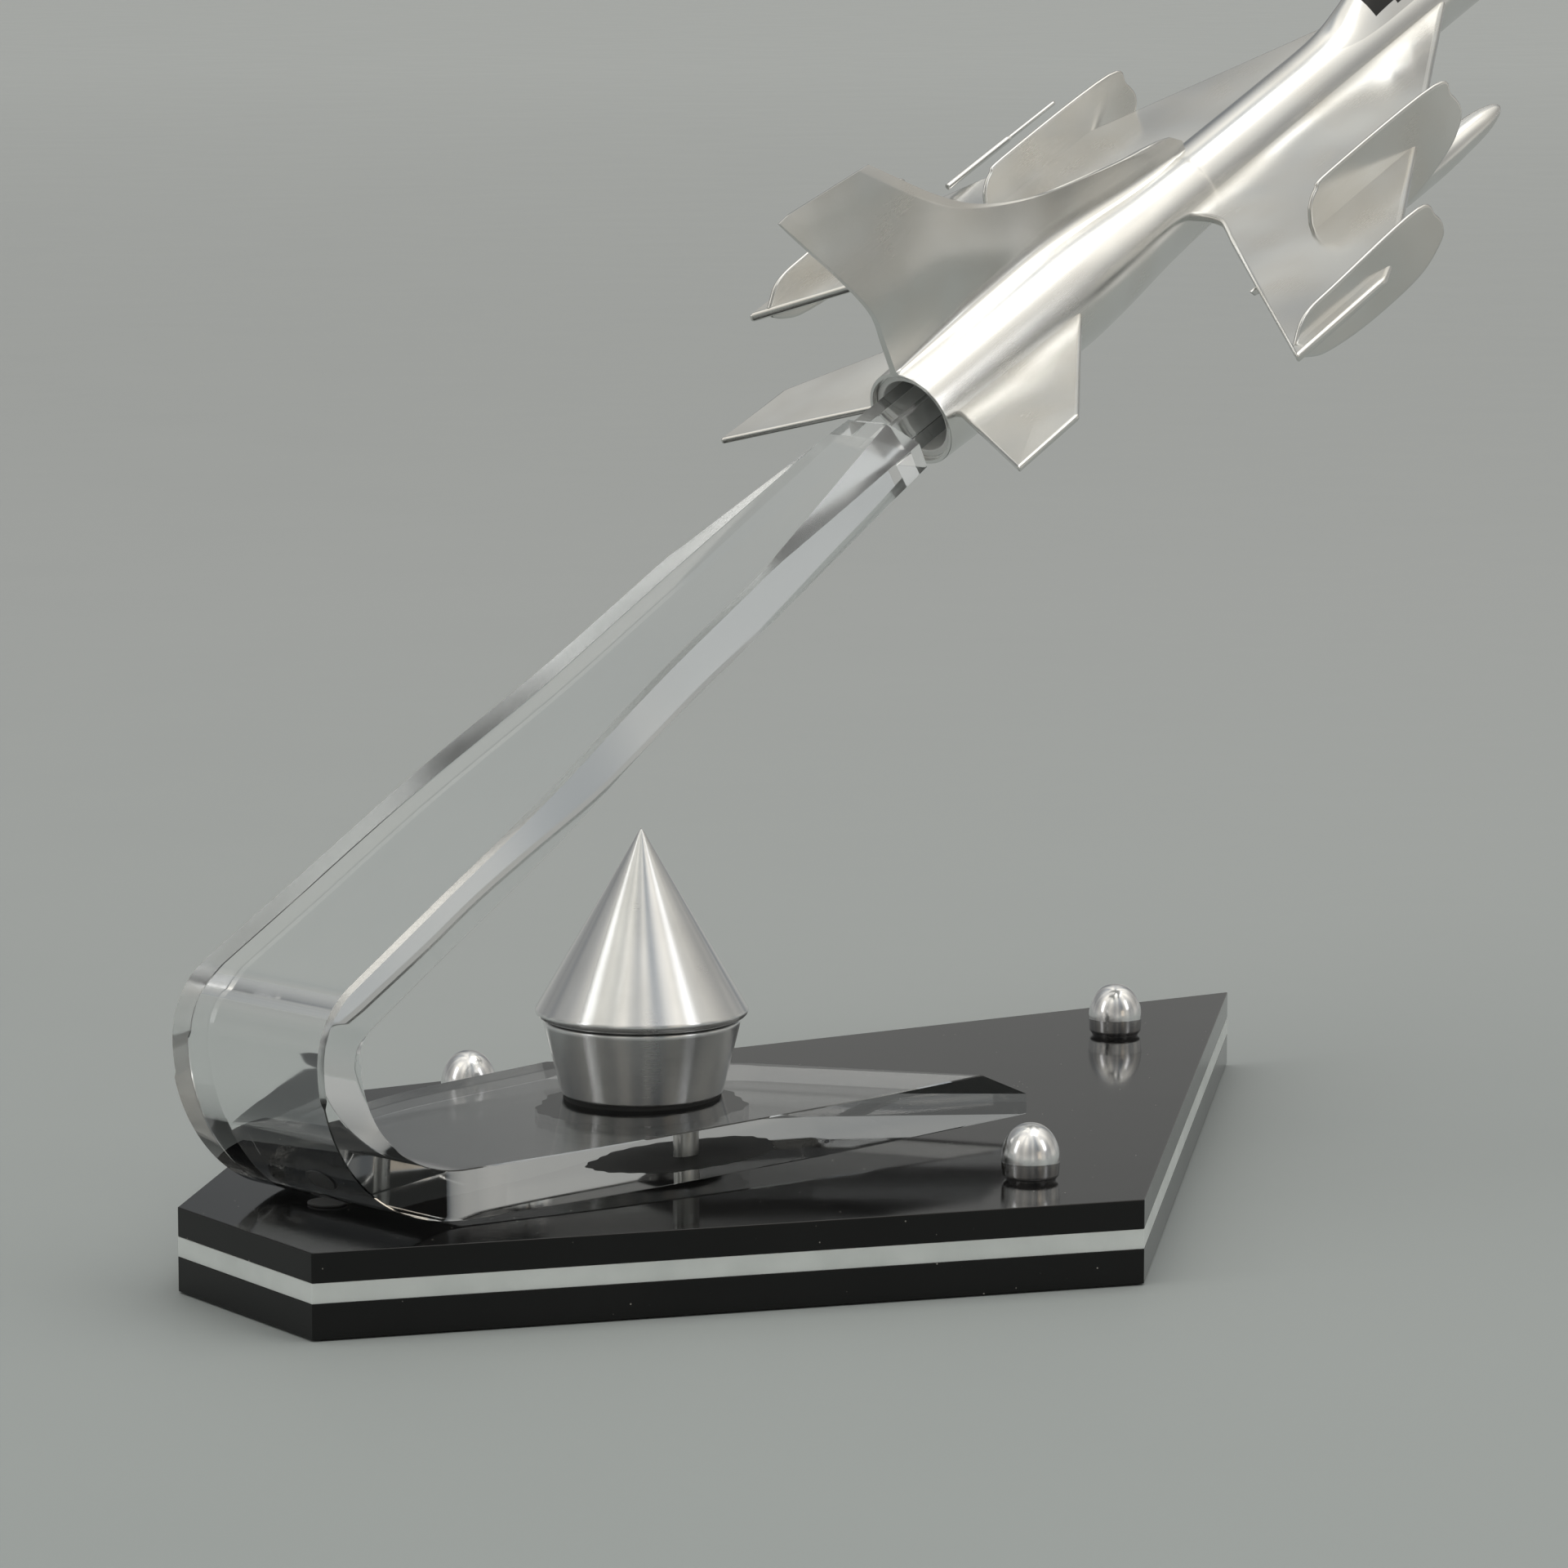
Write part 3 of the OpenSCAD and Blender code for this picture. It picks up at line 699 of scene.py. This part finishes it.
def fin_grid():
    """Rows of (station, height, half thickness) from the fuselage up to the tip."""
    root = [Vector((s, value_at(BODY_R, s) + value_at(FILLET, s)))
            for s in [100.6 * k / FIN_COLS for k in range(FIN_COLS + 1)]]
    rows = []
    for j in range(FIN_ROWS + 1):
        v = j / FIN_ROWS
        row = []
        for i in range(FIN_COLS + 1):
            u = i / FIN_COLS
            left, right = along_line(FIN_TE, v), along_line(FIN_LE, v)
            low, top = root[i], along_line(FIN_TOP, u)
            corners = (root[0] * (1 - u) * (1 - v) + root[-1] * u * (1 - v)
                       + FIN_TOP[0] * (1 - u) * v + FIN_TOP[-1] * u * v)
            p = low * (1 - v) + top * v + left * (1 - u) + right * u - corners
            taper = max(0.0, min(1.0, (p.y - 14.0) / 42.0))
            rim = min(1.0, 0.45 + 0.55 * (1 - u) * 9.0) * min(1.0, 0.5 + (1 - v) * 6.0)
            row.append((p.x, p.y, (0.85 - 0.38 * taper) * rim))
        rows.append(row)
    fillet = []
    for k in range(FIN_ARC, 0, -1):
        angle = math.pi / 2 * k / FIN_ARC
        row = []
        for (s, h, half), base in zip(rows[0], root):
            r = value_at(FILLET, s) * 1.15
            y = half + r * (1 - math.cos(angle))
            body = value_at(BODY_R, s)
            low = math.sqrt(max(body * body - y * y, 0.0)) - 0.12 * k / FIN_ARC
            lift = r * (1 - math.sin(angle))
            row.append((s, low + lift * (1 - 0.2 * k / FIN_ARC), y))
        fillet.append(row)
    return fillet + rows


def fin_mesh():
    """Both faces of the fin, joined along its edges, with every sharp edge rounded off."""
    rows = fin_grid()
    verts, sides = [], []
    for sign in (1, -1):
        grid = []
        for row in rows:
            grid.append(list(range(len(verts), len(verts) + len(row))))
            verts += [(s, sign * half, h) for s, h, half in row]
        sides.append(grid)
    faces = []
    for grid in sides:
        for a, b in zip(grid, grid[1:]):
            faces += [(a[k], a[k + 1], b[k + 1], b[k]) for k in range(len(a) - 1)]
    p, q = sides
    for j in range(len(rows) - 1):
        faces.append((p[j][0], q[j][0], q[j + 1][0], p[j + 1][0]))
        faces.append((p[j][-1], q[j][-1], q[j + 1][-1], p[j + 1][-1]))
    for k in range(FIN_COLS):
        faces.append((p[-1][k], q[-1][k], q[-1][k + 1], p[-1][k + 1]))
        faces.append((p[0][k], q[0][k], q[0][k + 1], p[0][k + 1]))
    bm = build(verts, faces)
    bmesh.ops.recalc_face_normals(bm, faces=bm.faces)
    sharp = [e for e in bm.edges
             if len(e.link_faces) == 2 and e.calc_face_angle(0.0) > math.radians(50)]
    bmesh.ops.bevel(bm, geom=sharp, offset=0.16, segments=2, profile=0.5, affect="EDGES",
                    clamp_overlap=True)
    return bm


aircraft_piece("fin_plate", fin_mesh(), plate_metal, "fin", smooth=40, flats=True)

# Lying plates: tailplane and wings
RIM_THIN = [(0.0, 0.3), (0.1, 0.5), (0.35, 0.68), (0.8, 0.8)]
RIM_WING = [(0.0, 0.42), (0.14, 0.7), (0.45, 0.92), (1.1, 1.1)]
RIM_FENCE = [(0.0, 0.14), (0.1, 0.32), (0.3, 0.45), (0.7, 0.5)]
WING_RISE = math.radians(0.2)
WING_TAIL_S, WING_TAIL_H = 34.0, -0.5
INNER_FENCE_Y, OUTER_FENCE_Y, FENCE_HALF_T = 47.6, 77.0, 0.5
TANK_R, TANK_H = 3.9, -8.6


def in_wing(s, h):
    """Height of a point of the wing plane above the fuselage's axis."""
    return WING_TAIL_H + (s - WING_TAIL_S) * math.tan(WING_RISE) + h


for name, side in (("port", 1), ("starboard", -1)):
    tail = soften([(3, 8.6), (3, 12), (-15, 43.9), (6.1, 43.2), (45.5, 11.5), (45.5, 8.6)], 0.7)
    aircraft_piece("tailplane_plate_" + name,
                   slab(tail, RIM_THIN, lambda a, b, off, side=side: (a, side * b, off)),
                   plate_metal, "tailplane_" + name, smooth=40, flats=True)
    root = [(86.8, 4.0), (86.8, 11.5), (86.3, 15.5), (84.8, 19.8), (81.6, 23.8), (77.5, 28.4)]
    edge = curve_through(root, 5, corners=(0, 1))
    wing = [tuple(p) for p in edge]
    wing += [tuple(p) for p in soften([(77.5, 28.4), (34.2, 80.4), (66, 80.2), (76, 75.3),
                                       (186.3, 7.3),
                                       (186.3, 4.0)], 1.2)][1:]
    aircraft_piece("wing_plate_" + name,
                   slab(wing, RIM_WING,
                        lambda a, b, off, side=side: (a, side * b, in_wing(a, off))),
                   plate_metal, "wing_" + name, smooth=40, flats=True)
    inner = [(82.5, 0), (82.5, 2.4), (84, 6), (87.2, 8.4), (93, 9.6), (131.3, 9.2), (135.8, 4.6),
             (137.3, -0.3), (133.2, -4.4), (125.6, -7.2), (115.3, -9.3), (100, -9.6), (80, -7),
             (60.5, -2.3), (59.5, -0.8)]
    outer = [(37.8, 0.7), (43.5, 4.7), (55.4, 5.6), (84.5, 6.5), (89.1, 2.5), (90.3, -1),
             (88, -3.8),
             (78.6, -6.8), (60.8, -7.3), (46.9, -6), (40.9, -3.9), (37.8, -1.8)]
    for kind, outline, y, corners in (("inner", inner, INNER_FENCE_Y, (0, 1, 13, 14)),
                                      ("outer", outer, OUTER_FENCE_Y, (0, 11))):
        loop = curve_through(outline, 6, True, corners)
        aircraft_piece(kind + "_fence_plate_" + name,
                       slab(loop, RIM_FENCE,
                            lambda a, b, off, y=y, side=side: (a, side * (y + off), b)),
                       plate_metal, kind + "_fence_" + name, smooth=40, flats=True)
    tank = curve_through([(70, 0.05), (72.5, 0.9), (76, 1.5), (86, 2.6), (100, 3.4), (114, 3.8),
                          (128, 3.9),
                          (138, 3.5), (146, 2.9), (151, 1.9), (153.3, 0.9), (154, 0.05)], 6)
    profile = [(70.0, 0.0)] + [tuple(p) for p in tank] + [(154.0, 0.0)]
    tank_y = INNER_FENCE_Y - FENCE_HALF_T - TANK_R - 0.02
    bm = lathe(profile, centre=(0.0, side * tank_y, TANK_H), segments=72)
    aircraft_piece("tank_body_" + name, bm, air_metal, "tank_" + name)

rod = soften([(90.0, 0.0), (90.0, 0.75), (112.0, 0.78), (113.0, 0.55), (129.2, 0.5),
              (130.0, 0.0)], 0.25)
bm = lathe([tuple(p) for p in rod], centre=(0.0, 65.5, 2.5), segments=40)
aircraft_piece("rod_turned", bm, air_metal, "pitot_rod")


# Cockpit cover: sections along the fuselage, metal at the back and dark glazing in front
HOOD_TOP = curve_through([(126, 8.62), (140, 8.7), (150, 9.0), (156, 9.9), (162, 11.8), (167, 13.5),
                          (172, 14.2), (178, 14.2), (186, 13.6), (194, 12.3), (202, 10.2),
                          (206.8, 8.7)], 6)
HOOD_WIDE = [(126, 4.2), (135, 6.6), (145, 7.6), (184, 7.4), (196, 6.2), (206.8, 2.8)]
HOOD_COLS = 28
HOOD_SEAT_R = 8.6
GLAZED = (163.6, 202.0)
FRAME_BARS = (163.9, 184.5)


def hood_mesh():
    """Sections that rise smoothly out of the fuselage, closed underneath and at both ends."""
    verts, rings = [], []
    for s, top in HOOD_TOP:
        wide = value_at(HOOD_WIDE, s)
        ring = []
        for k in range(HOOD_COLS + 1):
            a = math.pi * k / HOOD_COLS
            y = wide * math.cos(a)
            skin_h = math.sqrt(HOOD_SEAT_R ** 2 - y * y)
            rise = max(top - HOOD_SEAT_R, 0.02) * math.sin(a) ** 3
            ring.append(len(verts))
            verts.append((s, y, skin_h + rise if 0 < k < HOOD_COLS else skin_h - 0.15))
        for k in range(HOOD_COLS, -1, -2):
            y = wide * math.cos(math.pi * k / HOOD_COLS)
            ring.append(len(verts))
            verts.append((s, y * 0.9, math.sqrt(HOOD_SEAT_R ** 2 - y * y) - 0.6))
        rings.append(ring)
    faces = rings_to_faces(rings, True) + [tuple(rings[0]), tuple(reversed(rings[-1]))]
    bm = build(verts, faces)
    for f in bm.faces:
        c = f.calc_center_median()
        above = math.hypot(c.y, c.z)
        framed = any(abs(c.x - bar) < 0.9 for bar in FRAME_BARS) or above < 9.4
        f.material_index = 1 if GLAZED[0] < c.x < GLAZED[1] and not framed else 0
    return bm


aircraft_piece("cockpit_cover", hood_mesh(), [air_metal, glazing], "canopy", smooth=40)


# ---------- Stage ----------

def stage_plane(name, size, shader):
    mesh = bpy.data.meshes.new(name)
    h = size / 2
    mesh.from_pydata([(-h, -h, 0), (h, -h, 0), (h, h, 0), (-h, h, 0)], [], [(0, 1, 2, 3)])
    mesh.materials.append(shader.mat)
    obj = bpy.data.objects.new(name, mesh)
    scene.collection.objects.link(obj)
    obj.location.z = -0.0004


# Painted light: the sheet's colour is a little darker near the model and lighter far behind it,
# along the view, standing in for how the light falls off across it
FLOOR_PAINTED_FALLOFF = ((0.0, (0.348, 0.382, 0.38)), (0.035, (0.36, 0.39, 0.39)),
                (0.2, (0.41, 0.43, 0.435)),
                (1.0, (0.49, 0.515, 0.52)))
FLOOR_NEAR, FLOOR_FAR = -0.4, 7.4
floor = Shader("floor_grey", Roughness=0.6)
along = floor.add("ShaderNodeVectorMath", {0: floor.coords, 1: (0.7, 0.71, 0.0)},
                  operation="DOT_PRODUCT")
# The ramp paints the light falloff into the floor's colour
painted_falloff = floor.add("ShaderNodeValToRGB", {
    "Fac": floor.span(along.outputs["Value"], 0.0, 1.0, FLOOR_NEAR, FLOOR_FAR)})
painted_falloff.color_ramp.elements[0].color = (*FLOOR_PAINTED_FALLOFF[0][1], 1.0)
painted_falloff.color_ramp.elements[1].color = (*FLOOR_PAINTED_FALLOFF[-1][1], 1.0)
for place, shade in FLOOR_PAINTED_FALLOFF[1:-1]:
    painted_falloff.color_ramp.elements.new(place).color = (*shade, 1.0)
fibres = floor.noise(90.0, 3.0)
# The floor's base colour is the painted light falloff, not a real change in the sheet
floor.set("Base Color", painted_falloff.outputs["Color"])
floor.set("Roughness", floor.span(fibres, 0.55, 0.65))
stage_plane("floor", 60.0, floor)

world = bpy.data.worlds.new("studio")
world.use_nodes = True
scene.world = world
tree = world.node_tree
direction = tree.nodes.new("ShaderNodeTexCoord").outputs["Generated"]
split = tree.nodes.new("ShaderNodeSeparateXYZ")
ramp = tree.nodes.new("ShaderNodeValToRGB")
tree.links.new(direction, split.inputs[0])
tree.links.new(split.outputs["Z"], ramp.inputs[0])
ramp.color_ramp.elements[0].color = (0.50, 0.51, 0.51, 1)
ramp.color_ramp.elements[1].color = (0.95, 0.96, 0.96, 1)
for place, level in ((0.08, 0.50), (0.25, 0.36), (0.5, 0.46), (0.75, 0.8)):
    ramp.color_ramp.elements.new(place).color = (level, level * 1.01, level * 1.01, 1)
blobs = tree.nodes.new("ShaderNodeTexNoise")
blobs.inputs["Scale"].default_value = 2.1
blobs.inputs["Detail"].default_value = 2.0
flat = tree.nodes.new("ShaderNodeVectorMath")
flat.operation = "MULTIPLY"
flat.inputs[1].default_value = (1.0, 1.0, 0.12)
around = tree.nodes.new("ShaderNodeVectorMath")
around.operation = "NORMALIZE"
tree.links.new(direction, flat.inputs[0])
tree.links.new(flat.outputs[0], around.inputs[0])
tree.links.new(around.outputs[0], blobs.inputs["Vector"])
tint = tree.nodes.new("ShaderNodeValToRGB")
for element, colour in zip(tint.color_ramp.elements, ((0.42, 0.45, 0.48, 1), (1.6, 1.52, 1.38, 1))):
    element.color = colour
tint.color_ramp.elements[0].position, tint.color_ramp.elements[1].position = 0.36, 0.64
tree.links.new(blobs.outputs["Fac"], tint.inputs[0])
room = tree.nodes.new("ShaderNodeMix")
room.data_type, room.blend_type = "RGBA", "MULTIPLY"
room.inputs["Factor"].default_value = 1.0
tree.links.new(ramp.outputs[0], room.inputs[6])
tree.links.new(tint.outputs[0], room.inputs[7])
tree.links.new(room.outputs[2], tree.nodes["Background"].inputs["Color"])
tree.nodes["Background"].inputs["Strength"].default_value = 1.05


def softbox(name, location, target, size, power, colour=(1.0, 1.0, 1.0)):
    data = bpy.data.lights.new(name, "AREA")
    data.shape, data.size, data.size_y = "RECTANGLE", size[0], size[1]
    data.energy, data.color = power, colour
    obj = bpy.data.objects.new(name, data)
    scene.collection.objects.link(obj)
    obj.location = location
    aim = Vector(target) - Vector(location)
    obj.rotation_mode = "QUATERNION"
    obj.rotation_quaternion = aim.to_track_quat("-Z", "Y")


MIDDLE = (0.05, 0.0, 0.12)
softbox("overhead", (0.3, -0.3, 1.6), MIDDLE, (1.0, 0.6), 2.6)
softbox("right_window", (0.5, -1.5, 0.9), MIDDLE, (0.35, 0.8), 1.6)
softbox("left_window", (-1.5, 0.6, 0.8), MIDDLE, (0.35, 0.9), 2.0)
softbox("warm_wall", (-0.3, -1.9, 0.35), MIDDLE, (0.5, 0.5), 0.5, (1.0, 0.82, 0.6))

scene.view_settings.view_transform = "Standard"
